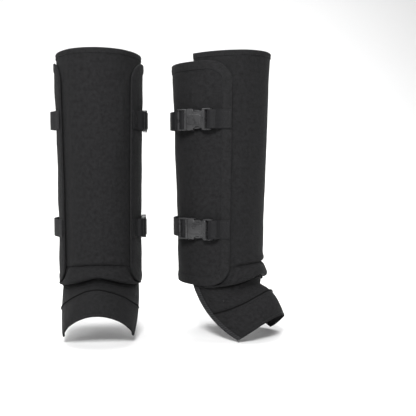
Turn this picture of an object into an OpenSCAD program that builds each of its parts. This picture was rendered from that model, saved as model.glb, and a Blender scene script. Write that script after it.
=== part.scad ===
// A pair of knee-high snake gaiters: stiff fabric tubes worn over trousers and boots.
// Each gaiter is a front shell, a back panel with an opening flap, two buckled straps
// and a guard that covers the instep. Millimetres, +Z up, toes of the left gaiter to -Y.
// The origin is the centre of the left gaiter's ankle opening, level with its back hem.

/* [Leg tube] */
// Height of the back panel and flap, hem to hem
flap_h = 305; // [280:5:330]
// Height of the front shell's top edge at its sides
shell_h = 317; // [300:1:340]
// How far the front shell's top edge rises at the shin
shell_arch = 3; // [0:1:8]
// Half width of the leg opening at the top
top_half_w = 56; // [50:1:66]
// Half width of the leg opening at the ankle
ankle_half_w = 51.7; // [46:0.1:58]
// Half depth of the leg opening at the top
top_half_d = 67.5; // [58:0.5:74]
// Half depth of the leg opening at the ankle
ankle_half_d = 57; // [48:0.1:60]

/* [Flap] */
// Angle from the shin to the front edge of the flap, seen from above
flap_edge = 50; // [40:1:60]
// Corner radius of the flap and the back panel
corner_r = 28; // [15:1:35]
// Width of the hem band round the flap
band_w = 11; // [8:1:14]

/* [Straps and buckles] */
// Width of the webbing
webbing_w = 25; // [20:1:30]
// Thickness of the webbing
webbing_t = 1.4; // [1:0.1:2]
// Height of the upper strap's middle
upper_strap_z = 227; // [200:1:250]
// Height of the lower strap's middle
lower_strap_z = 78; // [60:1:110]
// Width of the buckle
buckle_w = 29; // [27:1:32]
// Thickness of the buckle
buckle_t = 6.8; // [6.5:0.1:8]

/* [Instep guard] */
// How far the guard reaches in front of the leg's middle
guard_reach = 99; // [90:1:115]
// Half width between the guard's two lower corners
guard_half_w = 44.5; // [40:1:55]
// How far the lower corners hang below the back hem
guard_drop = 65; // [50:1:80]

/* [Pair] */
// Distance from the left gaiter's middle to the right one's, sideways
pair_x = 173; // [170:1:260]
// The same, front to back
pair_y = -8; // [-40:1:0]
// How far the right gaiter's instep guard hangs lower than the left one's, in degrees
right_guard_tilt = 6; // [0:0.5:8]
// Angle between the two gaiters' toes
pair_turn = 52; // [40:1:60]

/* [Hidden] */
SIDES = ["left", "right"];
PIECES = [
    "shell_outer", "shell_lining", "shin_plates", "shell_binding", "loop_strips", "ankle_cuff",
    "back_panel", "back_lining", "back_binding", "inner_straps",
    "flap_panel", "flap_lining", "flap_binding", "hook_strip",
    "upper_short_strap", "lower_short_strap", "upper_socket", "lower_socket", "outer_straps",
    "upper_plug", "lower_plug", "upper_strap_end", "lower_strap_end",
    "upper_plug_top_arm", "upper_plug_bottom_arm", "lower_plug_top_arm", "lower_plug_bottom_arm",
    "foot_guard", "foot_overlay", "foot_binding"
];

fabric = [0.13, 0.13, 0.13];
tape = [0.17, 0.17, 0.17];
plastic = [0.09, 0.09, 0.09];
plate_grey = [0.45, 0.46, 0.48];

// Layers of the wall, as distances outward from the leg opening: inner face, outer face.
lining_d = [0, 0.6];
plate_d = [0.9, 1.6];
shell_d = [1.8, 2.6];
loop_d = [2.75, 3.2];
hook_d = [3.7, 4.15];
flap_lining_d = [4.3, 4.8];
flap_d = [5, 5.8];
band_d = [3.75, 6.5];
strap_gap = 0.3;
strap_d = band_d[1] + strap_gap;

// Angles round the leg from the shin, in degrees: 1 degree is close to 1 mm of cloth.
shell_half_angle = 97;
hinge_angle = 165;
hinge_gap = 1;
inner_edge = 360 - flap_edge - 5;
cuff_top = 30;
cuff_skin_d = [2.45, 3.25];
fold_swell = 2.4;
binding_t = 0.5;
edge_inset = 2;
mid_z = 135;
mid_half_w = 0.16 * ankle_half_w + 0.84 * (ankle_half_w + 0.8);
mid_half_d = 0.62 * ankle_half_d + 0.38 * (top_half_d - 0.9);

// The buckle lies on the outer side of the leg. Y runs back from the shin side.
socket_y = [-23.5, 14.5];
plug_end_y = 29.5;
window_y = [-11.5, 4.5];
socket_wall = 1.3;
slide_gap = 0.3;
rear_slack = 4.6;
socket_bar = 2.8;
ladder_bar = 2.4;
pivot_y = 10;
pivot_z = 8;
arm_r = 1.3;
arm_tip_y = -9;

// ---------- the leg's surface ----------

function half_w(z) = lookup(z, [[-20, ankle_half_w], [0, ankle_half_w], [mid_z, mid_half_w],
    [flap_h, top_half_w], [flap_h + 30, top_half_w + 0.8]]);
function half_d(z) = lookup(z, [[-20, ankle_half_d], [0, ankle_half_d], [mid_z, mid_half_d],
    [flap_h, top_half_d], [flap_h + 30, top_half_d + 1.2]]);

// The point at an angle round the leg, a height and a distance out from the leg opening.
function skin(angle, z, d) = [(half_w(z) + d) * sin(angle), -(half_d(z) + d) * cos(angle), z];

function mix(a, b, t) = a + (b - a) * t;
function span(a, b, n) = [for (i = [0:n]) mix(a, b, i / n)];
function unit(v) = v / max(norm(v), 1e-9);

// ---------- cloth ----------

function flat_index(cols, i, j) = j * cols + i;
function two_triangles(a, b, c, d) = [[a, b, c], [a, c, d]];

// A closed sheet between two grids of points, listed row by row from the bottom up.
module sheet(inner, outer) {
    rows = len(outer);
    cols = len(outer[0]);
    half = rows * cols;
    points = concat([for (row = outer) each row], [for (row = inner) each row]);
    o = function(i, j) flat_index(cols, i, j);
    n = function(i, j) half + flat_index(cols, i, j);
    faces = concat(
        [for (j = [0:rows - 2]) for (i = [0:cols - 2])
            each two_triangles(o(i, j), o(i, j + 1), o(i + 1, j + 1), o(i + 1, j))],
        [for (j = [0:rows - 2]) for (i = [0:cols - 2])
            each two_triangles(n(i, j), n(i + 1, j), n(i + 1, j + 1), n(i, j + 1))],
        [for (i = [0:cols - 2]) each two_triangles(o(i, 0), o(i + 1, 0), n(i + 1, 0), n(i, 0))],
        [for (i = [0:cols - 2]) each two_triangles(
            o(i + 1, rows - 1), o(i, rows - 1), n(i, rows - 1), n(i + 1, rows - 1))],
        [for (j = [0:rows - 2]) each two_triangles(o(0, j + 1), o(0, j), n(0, j), n(0, j + 1))],
        [for (j = [0:rows - 2]) each two_triangles(
            o(cols - 1, j), o(cols - 1, j + 1), n(cols - 1, j + 1), n(cols - 1, j))]
    );
    polyhedron(points = points, faces = faces, convexity = 6);
}

// Cloth on the leg: angles across, low and high give the hems at each angle, rows up.
module wrap(angles, low, high, rows, d) {
    grid = function(off) [for (j = [0:rows]) [for (a = angles) skin(a, mix(low(a), high(a), j / rows), off)]];
    sheet(grid(d[0]), grid(d[1]));
}

// How far a rounded corner takes the hem in, at a distance from the panel's edge.
function corner_in(from_edge, r) = from_edge >= r ? 0 : r - sqrt(max(0, r * r - pow(r - from_edge, 2)));

// Angles across a panel that is rounded at its edge, closer together at the corner.
function corner_angles(edge, far, r, n) = concat(
    [for (t = [0:15:90]) edge + sign(far - edge) * r * (1 - cos(t))],
    [for (i = [1:n]) mix(edge + sign(far - edge) * r, far, i / n)]);

function ordered(list) = list[0] < list[len(list) - 1] ? list : [for (i = [len(list) - 1:-1:0]) list[i]];

function panel_steps(edge, far) = ceil((abs(far - edge) - corner_r) / 7.2);

// A panel of the back: rounded at its edge, straight at the hinge line.
module rounded_panel(edge, far, inset, d) {
    e = edge + sign(far - edge) * inset;
    r = corner_r - inset;
    wrap(ordered(corner_angles(e, far, r, panel_steps(edge, far))),
        function(a) inset + corner_in(abs(a - e), r),
        function(a) flap_h - inset - corner_in(abs(a - e), r),
        6, d);
}

// Points of a panel's outline, as [angle, height, inward angle step, inward height step].
function panel_edge(edge, far, r) = let (s = sign(far - edge), n = panel_steps(edge, far)) concat(
    [for (a = span(far, edge + s * r, n)) [a, flap_h, 0, -1]],
    [for (t = [15:15:75]) [edge + s * r * (1 - sin(t)), flap_h - r * (1 - cos(t)), s * sin(t), -cos(t)]],
    [for (z = span(flap_h - r, r, 6)) [edge, z, s, 0]],
    [for (t = [75:-15:15]) [edge + s * r * (1 - sin(t)), r * (1 - cos(t)), s * sin(t), cos(t)]],
    [for (a = span(edge + s * r, far, n)) [a, 0, 0, 1]]);

// A closed tube through rings of points.
module rings(list) {
    n = len(list[0]);
    last = len(list) - 1;
    faces = concat([[for (k = [0:n - 1]) k]], [[for (k = [n - 1:-1:0]) last * n + k]],
        [for (i = [0:last - 1]) for (k = [0:n - 1]) let (m = (k + 1) % n)
            each two_triangles(i * n + k, (i + 1) * n + k, (i + 1) * n + m, i * n + m)]);
    polyhedron(points = [for (ring = list) each ring], faces = faces, convexity = 8);
}

// Tape folded round an edge: one leg outside, a shorter leg inside.
module folded_tape(outline, outside_w, inside_w, d, wall, turned) {
    profile = [[outside_w, d[1] - binding_t], [outside_w, d[1]], [0, d[1]], [0, d[0]],
        [inside_w, d[0]], [inside_w, d[0] + wall], [edge_inset - 0.3, d[0] + wall],
        [edge_inset - 0.3, d[1] - binding_t]];
    ordered_profile = turned ? [for (k = [len(profile) - 1:-1:0]) profile[k]] : profile;
    rings([for (p = outline) [for (q = ordered_profile) skin(p[0] + p[2] * q[0], p[1] + p[3] * q[0], q[1])]]);
}

// ---------- front shell ----------

function shell_top(a) = shell_h + shell_arch * cos(a);

module shell_outer() {
    color(fabric) wrap(span(-shell_half_angle, shell_half_angle, 22), function(a) cuff_top,
        function(a) shell_top(a) - edge_inset, 6, shell_d);
}

module shell_lining() {
    color(tape) wrap(span(-shell_half_angle, shell_half_angle, 22), function(a) cuff_top,
        function(a) shell_top(a) - edge_inset, 4, lining_d);
}

// Three stiff plates sewn into pockets between the lining and the outer cloth.
module shin_plates() {
    plate_span = 52;
    pocket_gap = 5;
    for (middle = [-plate_span - pocket_gap, 0, plate_span + pocket_gap])
        color(plate_grey) wrap(span(middle - plate_span / 2, middle + plate_span / 2, 6),
            function(a) cuff_top + 6, function(a) shell_h - 12, 3, plate_d);
}

module shell_binding() {
    band = 7;
    outline = [for (a = span(-shell_half_angle, shell_half_angle, 22)) [a, shell_top(a), 0, -1]];
    color(tape) folded_tape(outline, band, 5, [-0.5, shell_d[1] + 0.2 + binding_t], 0.35, true);
}

// The soft half of the touch fastener, sewn to both sides of the shell.
module loop_strips() {
    strip_w = 22;
    for (edge = [flap_edge + 12, -flap_edge - 17 - strip_w])
        color(tape) wrap(span(edge, edge + strip_w, 3), function(a) 46, function(a) flap_h - 16, 3, loop_d);
}

// The unstiffened cloth that folds over the ankle, lower at its sides than in front. It swells
// out above its hem at the shin and lies flat where the flap covers it.
module ankle_cuff() {
    front_low = 12;
    side_low = -4;
    rows = 6;
    low = function(a) mix(front_low, side_low, pow(sin(min(abs(a), 90)), 1.2));
    swell = function(a, t) fold_swell * pow(cos(min(90, abs(a) * 90 / 46)), 0.8) * sin(180 * pow(t, 0.6));
    grid = function(off) [for (j = [0:rows]) [for (a = span(-shell_half_angle, shell_half_angle, 26))
        skin(a, mix(low(a), cuff_top - 0.3, j / rows), off + swell(a, j / rows))]];
    color(fabric) sheet(grid(cuff_skin_d[0]), grid(cuff_skin_d[1]));
}

// ---------- back panel and flap ----------

module back_panel() {
    color(fabric) rounded_panel(inner_edge, hinge_angle + hinge_gap, edge_inset, flap_d);
}

module back_lining() {
    color(tape) rounded_panel(inner_edge, hinge_angle + hinge_gap, edge_inset, flap_lining_d);
}

module back_binding() {
    color(tape) folded_tape(panel_edge(inner_edge, hinge_angle + hinge_gap, corner_r),
        band_w, 5, band_d, 0.35, false);
}

module flap_panel() {
    color(fabric) rounded_panel(flap_edge, hinge_angle - hinge_gap, edge_inset, flap_d);
}

module flap_lining() {
    color(tape) rounded_panel(flap_edge, hinge_angle - hinge_gap, edge_inset, flap_lining_d);
}

module flap_binding() {
    color(tape) folded_tape(panel_edge(flap_edge, hinge_angle - hinge_gap, corner_r),
        band_w, 5, band_d, 0.35, true);
}

// The stiff half of the touch fastener, sewn inside the flap.
module hook_strip() {
    strip_w = 22;
    edge = flap_edge + 12;
    color(plastic) wrap(span(edge, edge + strip_w, 3), function(a) 46, function(a) flap_h - 16, 3, hook_d);
}

// ---------- straps ----------

// Plan points along the leg at one height, a distance out.
function plan(angle, z, d) = [skin(angle, z, d).x, skin(angle, z, d).y];

// Webbing stood on edge: a path in plan, thickened and raised to the strap's width.
module webbing(path, z) {
    last = len(path) - 1;
    side = [for (i = [0:last]) let (t = unit(path[min(i + 1, last)] - path[max(i - 1, 0)])) [t.y, -t.x]];
    outline = concat([for (i = [0:last]) path[i] + side[i] * webbing_t / 2],
        [for (i = [last:-1:0]) path[i] - side[i] * webbing_t / 2]);
    translate([0, 0, z - webbing_w / 2]) linear_extrude(webbing_w) polygon(outline);
}

// The leg widens upward, so a strap's path is taken at its own top edge.
function strap_level(z) = z + webbing_w / 2;
function buckle_x(z) = half_w(z + buckle_w / 2) + flap_d[1] + 0.4;

// From the flap's front edge to the socket's slot, folded back over its bar.
module short_strap(z) {
    d = strap_d + webbing_t / 2;
    x = buckle_x(z);
    y = socket_y[0];
    path = concat(
        [for (a = span(flap_edge + 0.5, flap_edge + 12, 4)) plan(a, strap_level(z), d)],
        [[x + 1.2, y - 4], [x + 0.95, y + 1.3], [x + 1.15, y + 4.3], [x + 3.4, y + 5.1], [x + 5.6, y + 4.4],
         [x + 5.8, y + 1.4], [x + 5.75, y - 0.6], [x + 4.6, y - 3.2], [x + 2.9, y - 5.6]]);
    color(tape) webbing(path, z);
}

// The end of the long strap: under the plug's end bar, over its middle bar and down again.
module strap_end(z) {
    x = buckle_x(z);
    y = plug_end_y;
    color(tape) webbing([[x - 6.1, y + 12], [x - 2.8, y + 7], [x - 0.1, y + 2.3], [x + 0.75, y - 0.3],
        [x + 1, y - 2.6], [x + 1.9, y - 3.75], [x + 3.1, y - 4.05], [x + 4.5, y - 4.25], [x + 5.3, y - 5.3],
        [x + 5.45, y - 6.9], [x + 5.3, y - 8.5], [x + 4.4, y - 9.55], [x + 3.1, y - 9.75], [x + 1.9, y - 10],
        [x + 0.9, y - 10.6]], z);
}

// The long strap between the plug and the hinge line, on the flap.
module outer_straps() {
    for (z = [upper_strap_z, lower_strap_z])
        color(tape) webbing([for (a = span(129, hinge_angle - hinge_gap, 7))
            plan(a, strap_level(z), strap_d + webbing_t / 2
                + rear_slack * (1 - pow((a - 125) / (hinge_angle - hinge_gap - 125), 2)))], z);
}

// The rest of the long strap, from the hinge line to the back panel's front edge, with a slack
// loop on the inner side.
module inner_straps() {
    slack = 5.5;
    loop = function(a) slack * pow(max(0, sin((a - 245) * 180 / 52)), 2);
    for (z = [upper_strap_z, lower_strap_z])
        color(tape) webbing([for (a = span(hinge_angle + hinge_gap, inner_edge - 0.5, 27))
            plan(a, strap_level(z), strap_d + webbing_t / 2 + (a > 245 && a < 297 ? loop(a) : 0))], z);
}

// ---------- buckles ----------

module rounded_rect(size, r) {
    translate([r, r]) offset(r = r, $fn = 24) square([size.x - 2 * r, size.y - 2 * r]);
}

// Side outline of the buckle lies in Y and Z; this stands it up against the leg at x.
module stand(x, z, thickness) {
    translate([x, 0, z]) rotate([90, 0, 90]) linear_extrude(thickness) children();
}

// A slot through the buckle from y to y, as wide as a strap needs, between two depths.
module strap_slot(x, z, y, depth) {
    stand(x + depth[0], z, depth[1] - depth[0])
        translate([y[0], -(webbing_w + 1) / 2]) square([y[1] - y[0], webbing_w + 1]);
}

module socket_outline() {
    difference() {
        translate([socket_y[0], -buckle_w / 2]) rounded_rect([socket_y[1] - socket_y[0], buckle_w], 1.8);
        for (s = [-1, 1])
            hull() for (y = [window_y[0] + 3.6, window_y[1] - 3.6])
                translate([y, s * (buckle_w / 2 + 1.2)]) scale([1, 1.35]) circle(r = 4.3, $fn = 32);
    }
}

// The socket: a flat case open at its mouth, with a slot and a slim bar at the other end.
module socket(z) {
    x = buckle_x(z);
    cavity_w = buckle_w - 2 * socket_wall;
    bar_y = socket_y[0] + socket_bar;
    color(plastic) difference() {
        stand(x, z, buckle_t) socket_outline();
        stand(x + socket_wall, z, buckle_t - 2 * socket_wall)
            translate([window_y[0] - 0.5, -cavity_w / 2]) square([socket_y[1] - window_y[0] + 1, cavity_w]);
        strap_slot(x, z, [bar_y, bar_y + 5.4], [-1, buckle_t + 1]);
        strap_slot(x, z, [bar_y - 4, bar_y + 0.1], [-1, 2]);
        strap_slot(x, z, [bar_y - 4, bar_y + 0.1], [4.8, buckle_t + 1]);
    }
}

// The plug: a guide that runs into the socket, and a ladder of two slim bars for the strap.
module plug(z) {
    x = buckle_x(z);
    inner_t = buckle_t - 2 * socket_wall - 2 * slide_gap;
    slot = (plug_end_y - socket_y[1] - 1.2 - 3 * ladder_bar) / 2;
    ladder_y = plug_end_y - 2 * (ladder_bar + slot) - ladder_bar;
    color(plastic) {
        difference() {
            stand(x, z, buckle_t) translate([socket_y[1] + 0.1, -buckle_w / 2])
                rounded_rect([plug_end_y - socket_y[1], buckle_w], 1.4);
            strap_slot(x, z, [ladder_y + ladder_bar, plug_end_y - ladder_bar], [-1, buckle_t + 1]);
            strap_slot(x, z, [plug_end_y - ladder_bar - 0.1, plug_end_y + 1], [-1, 2.1]);
            strap_slot(x, z, [plug_end_y - ladder_bar - 0.1, plug_end_y + 1], [5.6, buckle_t + 1]);
        }
        stand(x + 1, z, 3.4) translate([plug_end_y - 2 * ladder_bar - slot, -buckle_w / 2 + 1])
            square([ladder_bar, buckle_w - 2]);
        stand(x + socket_wall + slide_gap, z, inner_t) {
            translate([-8.5, -2.4]) square([socket_y[1] + 8.8, 4.8]);
            translate([pivot_y + arm_r + 0.3, -11]) square([socket_y[1] - pivot_y - arm_r, 22]);
        }
    }
}

// A springy arm beside the guide. Its bulge is what the fingers press.
module plug_arm(z, side) {
    x = buckle_x(z) + socket_wall + slide_gap;
    inner_t = buckle_t - 2 * socket_wall - 2 * slide_gap;
    bulge_z = buckle_w / 2 - socket_wall - slide_gap - 1.6;
    color(plastic) stand(x, z, inner_t) {
        hull() {
            translate([pivot_y, side * pivot_z]) circle(r = arm_r, $fn = 32);
            translate([window_y[1] - 3, side * bulge_z]) circle(r = 1.5, $fn = 32);
        }
        hull() {
            translate([window_y[1] - 3, side * bulge_z]) circle(r = 1.5, $fn = 32);
            translate([arm_tip_y, side * (bulge_z - 1.8)]) circle(r = 1.2, $fn = 32);
        }
    }
}

// ---------- instep guard ----------

guard_angle = 105;
guard_top_z = 14;
guard_pivot_z = 10;
guard_t = 1.4;
overlay_t = 0.7;

function guard_corner(t) = [guard_half_w * sin(t), -(guard_reach - 34 * (1 - cos(t))),
    -guard_drop + (guard_drop - 32) * pow(max(cos(t), 0), 1.2)];
function guard_in(a) = 0.6 - 2.4 * pow(max(0, (abs(a) - 60) / (guard_angle - 60)), 1.5);
// The guard stays against the leg until it is below the cuff's hem, so the two never meet.
function guard_fold_z(a) = 4 - 2 * abs(a) / guard_angle - 8 * pow(sin(180 * a / guard_angle), 2);
function guard_fold(a) = skin(a, guard_fold_z(a), guard_in(a));

// The guard's surface: v is 0 at the fold over the ankle and 1 at the lower hem.
function guard_at(a, v) = let (
        t = a * 90 / guard_angle,
        top = guard_fold(a),
        low = guard_corner(t),
        middle = (top + low) / 2 + pow(cos(t), 2) * [0, -10, 12] + pow(abs(sin(t)), 5) * [0, 14, -15]
            + pow(abs(sin(t)), 2) * sign(t) * [6, 0, 0]
    ) (1 - v) * (1 - v) * top + 2 * v * (1 - v) * middle + v * v * low;

// A point a distance out from the guard, found from the surface's slope on both sides.
function guard_out(a, v, d) = let (
        step = 0.5,
        across = guard_at(a + step, v) - guard_at(a - step, v),
        up = guard_at(a, max(v - 0.02, 0)) - guard_at(a, v + 0.02)
    ) guard_at(a, v) + unit(cross(across, up)) * d;

module guard_sheet(angles, v_low, v_high, rows, d) {
    grid = function(off) [for (j = [0:rows]) [for (a = angles)
        guard_out(a, mix(v_low, v_high(a), j / rows), off)]];
    sheet(grid(d[0]), grid(d[1]));
}

module foot_guard() {
    angles = span(-guard_angle, guard_angle, 20);
    rows = 7;
    collar = function(off) [for (a = angles) skin(a, guard_top_z, guard_in(a) + off)];
    grid = function(off) concat([for (j = [0:rows]) [for (a = angles) guard_out(a, 1 - j / rows, off)]],
        [collar(off)]);
    color(fabric) sheet(grid(0), grid(guard_t));
}

// A second layer over the lower part, whose top edge is a seam across the instep.
module foot_overlay() {
    seam = function(a) 0.36 + 0.14 * pow(sin(a * 90 / guard_angle), 2);
    color(fabric) guard_sheet(span(-94, 94, 18), 0.995, seam, 4, [guard_t + 0.3, guard_t + 0.3 + overlay_t]);
}

// Tape along the guard's two back edges, with a stitched end at each lower corner.
module foot_binding() {
    for (s = [-1, 1])
        color(tape) guard_sheet(ordered([s * 95.5, s * 100, s * guard_angle]), 0.995, function(a) 0.06, 8,
            [guard_t + 0.12, guard_t + 0.12 + 1.1]);
}

// ---------- the pair ----------

module place(side) {
    if (side == "left") children();
    else translate([pair_x, pair_y, 0]) rotate([0, 0, pair_turn]) mirror([1, 0, 0]) children();
}

module place_guard(side) {
    place(side) translate([0, 0, guard_pivot_z]) rotate([side == "right" ? right_guard_tilt : 0, 0, 0])
        translate([0, 0, -guard_pivot_z]) children();
}

for (side = SIDES) {
    place(side) shell_outer();
    place(side) shell_lining();
    place(side) shin_plates();
    place(side) shell_binding();
    place(side) loop_strips();
    place(side) ankle_cuff();
    place(side) back_panel();
    place(side) back_lining();
    place(side) back_binding();
    place(side) inner_straps();
    place(side) flap_panel();
    place(side) flap_lining();
    place(side) flap_binding();
    place(side) hook_strip();
    place(side) short_strap(upper_strap_z);
    place(side) short_strap(lower_strap_z);
    place(side) socket(upper_strap_z);
    place(side) socket(lower_strap_z);
    place(side) outer_straps();
    place(side) plug(upper_strap_z);
    place(side) plug(lower_strap_z);
    place(side) strap_end(upper_strap_z);
    place(side) strap_end(lower_strap_z);
    place(side) plug_arm(upper_strap_z, 1);
    place(side) plug_arm(upper_strap_z, -1);
    place(side) plug_arm(lower_strap_z, 1);
    place(side) plug_arm(lower_strap_z, -1);
    place_guard(side) foot_guard();
    place_guard(side) foot_overlay();
    place_guard(side) foot_binding();
}
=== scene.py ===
"""Pair of snake gaiters: woven nylon leg tubes with wrap-round backs, buckled webbing and instep guards.

Every piece is laid out in one frame for both legs: millimetres, angles in degrees round the leg from the
shin, heights up the leg, and distances out from the leg opening. The right gaiter is the same layout
mirrored and turned.
"""

import math

import bmesh
import bpy
from bpy.props import FloatProperty, FloatVectorProperty, IntProperty, PointerProperty
from mathutils import Matrix, Vector, noise


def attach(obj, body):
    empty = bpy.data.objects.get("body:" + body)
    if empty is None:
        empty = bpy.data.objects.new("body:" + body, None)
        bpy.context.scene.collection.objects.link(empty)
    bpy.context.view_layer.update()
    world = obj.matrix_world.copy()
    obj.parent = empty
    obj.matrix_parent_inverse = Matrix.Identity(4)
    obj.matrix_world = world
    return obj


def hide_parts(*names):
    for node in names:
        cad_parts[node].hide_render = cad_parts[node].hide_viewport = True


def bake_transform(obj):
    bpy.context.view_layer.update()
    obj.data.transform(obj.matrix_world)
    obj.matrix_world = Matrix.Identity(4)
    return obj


bl_info = {
    "name": "Snake gaiters",
    "version": (1, 0, 0),
    "blender": (4, 5, 0),
    "location": "View3D > Sidebar > Gaiters",
    "description": "Builds a pair of woven nylon snake gaiters on a packed frame",
    "category": "Add Mesh",
}

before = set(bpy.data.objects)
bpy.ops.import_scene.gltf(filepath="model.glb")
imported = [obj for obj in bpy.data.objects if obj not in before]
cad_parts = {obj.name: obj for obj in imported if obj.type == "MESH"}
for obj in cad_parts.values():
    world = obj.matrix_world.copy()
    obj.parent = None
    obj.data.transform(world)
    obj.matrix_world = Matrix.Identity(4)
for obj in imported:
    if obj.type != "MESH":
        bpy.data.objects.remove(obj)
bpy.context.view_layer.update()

MM = 0.001
SIDES = ("left", "right")
TO_RIGHT = (
    Matrix.Translation((0.173, -0.008, 0))
    @ Matrix.Rotation(math.radians(52), 4, "Z")
    @ Matrix.Diagonal((-1, 1, 1, 1))
)

# Heights, angles and layers of one gaiter, as the frame has them.
FLAP_EDGE = 50
INNER_EDGE = 305
WRAP_H = 305
CORNER_R = 28
BAND_W = 11
SHELL_EDGE = 97
SHELL_TOP = 317
SHELL_ARCH = 3
CUFF_TOP = 30
STRAP_Z = {"upper": 227, "lower": 78}
WEBBING_W = 25
WEBBING_T = 1.4
STRAP_D = 6.8
BUCKLE_W = 29
BUCKLE_T = 6.8
SOCKET_FRONT, SOCKET_MOUTH = -23.5, 14.5
PLUG_END = 29.5
WINDOW_Y = -3.5
SOCKET_WALL = 1.3
SLIDE_GAP = 0.3
PIVOT_Y, PIVOT_Z = 10, 8
GUARD_ANGLE = 105
GUARD_T = 1.4
GUARD_TILT = {"left": 0, "right": 6}
GUARD_PIVOT = Matrix.Translation((0, 0, 10))
# The hinge line of the back, as a stretch of X that the cloth bends over.
BEND_X = (8, 23)


# ---------- sizes round the leg ----------


def lookup(z, heights, sizes):
    """Straight-line value between listed heights."""
    if z <= heights[0]:
        return sizes[0]
    for i in range(len(heights) - 1):
        if z <= heights[i + 1]:
            t = (z - heights[i]) / (heights[i + 1] - heights[i])
            return sizes[i] + (sizes[i + 1] - sizes[i]) * t
    return sizes[-1]


def half_w(z):
    return lookup(z, (0, 135, 305, 335), (51.7, 52.37, 56, 56.8))


def half_d(z):
    return lookup(z, (0, 135, 305, 335), (57, 60.65, 67.5, 68.7))


def skin(angle, z, d):
    """The point at an angle round the leg, a height, and a distance out from the leg opening."""
    a = math.radians(angle)
    return Vector(((half_w(z) + d) * math.sin(a), -(half_d(z) + d) * math.cos(a), z))


def mix(a, b, t):
    return a + (b - a) * t


def ease(t):
    t = min(1, max(0, t))
    return t * t * (3 - 2 * t)


def relief(angle, z, across, along, seed):
    """Smooth unevenness from -1 to 1, with features of a given width and height in millimetres."""
    return noise.noise(Vector((angle / across, z / along, seed)))


def folds(angle, z, table):
    """Sum of soft ridges, each (angle, height, half length, half width, tilt, depth)."""
    total = 0
    for a0, z0, length, width, tilt, depth in table:
        da, dz = angle - a0, z - z0
        c, s = math.cos(math.radians(tilt)), math.sin(math.radians(tilt))
        u, v = (da * c + dz * s) / length, (dz * c - da * s) / width
        total += depth * math.exp(-u * u - v * v)
    return total


# ---------- pieces ----------


def only(obj):
    """Selects one object and makes it active."""
    if bpy.context.object and bpy.context.object.mode != "OBJECT":
        bpy.ops.object.mode_set(mode="OBJECT")
    bpy.ops.object.select_all(action="DESELECT")
    obj.select_set(True)
    bpy.context.view_layer.objects.active = obj
    return obj


def added(name):
    """The object that an operator has just added, named."""
    obj = bpy.context.object
    obj.name = name
    obj.data.name = name
    return obj


def apply(obj, kind, **settings):
    """Adds a modifier, sets it and applies it."""
    only(obj)
    m = obj.modifiers.new(kind.title(), kind)
    for key, value in settings.items():
        setattr(m, key, value)
    bpy.ops.object.modifier_apply(modifier=m.name)
    return obj


def settle(obj, side, smooth=35):
    """Moves a piece laid out for the left leg in millimetres to its leg, in metres."""
    m = TO_RIGHT if side == "right" else Matrix.Identity(4)
    obj.data.transform(m @ Matrix.Diagonal((MM, MM, MM, 1)))
    if side == "right":
        obj.data.flip_normals()
    only(obj)
    bpy.ops.object.shade_smooth_by_angle(angle=math.radians(smooth))
    return obj


def finish_piece(obj, side, material, body, replaced=(), smooth=35):
    """Settles a piece, gives it its finish, hangs it on its body's empty if it rides one and else fixes it where it
    lies, and hides the parts it replaces.
    """
    if body == "instep_guard":
        turn = Matrix.Rotation(math.radians(GUARD_TILT[side]), 4, "X")
        obj.data.transform(GUARD_PIVOT @ turn @ GUARD_PIVOT.inverted())
    settle(obj, side, smooth)
    obj.data.materials.clear()
    obj.data.materials.append(material)
    if isinstance(body, str):
        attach(obj, f"{side}_{body}")
    else:
        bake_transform(obj)
    if replaced:
        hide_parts(*[f"{side}_{n}" for n in replaced])
    return obj


def cloth(name, cols, rows, place, thickness, closed=False):
    """A sheet of cloth: a grid laid over place(s, t), which gives a point and its place on the flat cloth
    in millimetres, then given its thickness inwards. Returns it and the area in m2 of the shaped
    surface."""
    bpy.ops.mesh.primitive_grid_add(x_subdivisions=cols, y_subdivisions=rows, size=2, calc_uvs=True)
    obj = added(name)
    mesh = obj.data
    flat = [None] * len(mesh.vertices)
    for v in mesh.vertices:
        s, t = (v.co.x + 1) / 2, (v.co.y + 1) / 2
        v.co, flat[v.index] = place(s, t)
    uv = mesh.uv_layers.active.data
    for loop in mesh.loops:
        u, v = flat[loop.vertex_index]
        uv[loop.index].uv = (u * MM, v * MM)
    area = sum(p.area for p in mesh.polygons) * MM * MM
    if closed:
        bm = bmesh.new()
        bm.from_mesh(mesh)
        bmesh.ops.remove_doubles(bm, verts=bm.verts, dist=0.001)
        bm.to_mesh(mesh)
        bm.free()
    apply(obj, "SOLIDIFY", thickness=thickness, offset=-1)
    return obj, area


def round_rims(obj, width, segments=2):
    return apply(obj, "BEVEL", width=width, segments=segments, limit_method="ANGLE", angle_limit=math.radians(50))


def slab(name, outline, x_low, x_high):
    """A flat piece standing against the leg: an outline in Y and Z, extruded along X."""
    bpy.ops.mesh.primitive_circle_add(vertices=len(outline), radius=1, fill_type="NGON")
    obj = added(name)
    for v, (y, z) in zip(obj.data.vertices, outline):
        v.co = (x_low, y, z)
    bpy.ops.object.mode_set(mode="EDIT")
    bpy.ops.mesh.select_all(action="SELECT")
    bpy.ops.mesh.extrude_region_move(TRANSFORM_OT_translate={"value": (x_high - x_low, 0, 0)})
    bpy.ops.mesh.select_all(action="SELECT")
    bpy.ops.mesh.normals_make_consistent(inside=False)
    bpy.ops.object.mode_set(mode="OBJECT")
    return obj


def cut(obj, cutter):
    """Cuts one piece with another and removes the cutter."""
    apply(obj, "BOOLEAN", object=cutter, operation="DIFFERENCE", solver="EXACT")
    bpy.data.objects.remove(cutter)
    return obj


def joined(objs, name):
    only(objs[0])
    for o in objs[1:]:
        o.select_set(True)
    bpy.ops.object.join()
    return added(name)


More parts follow.
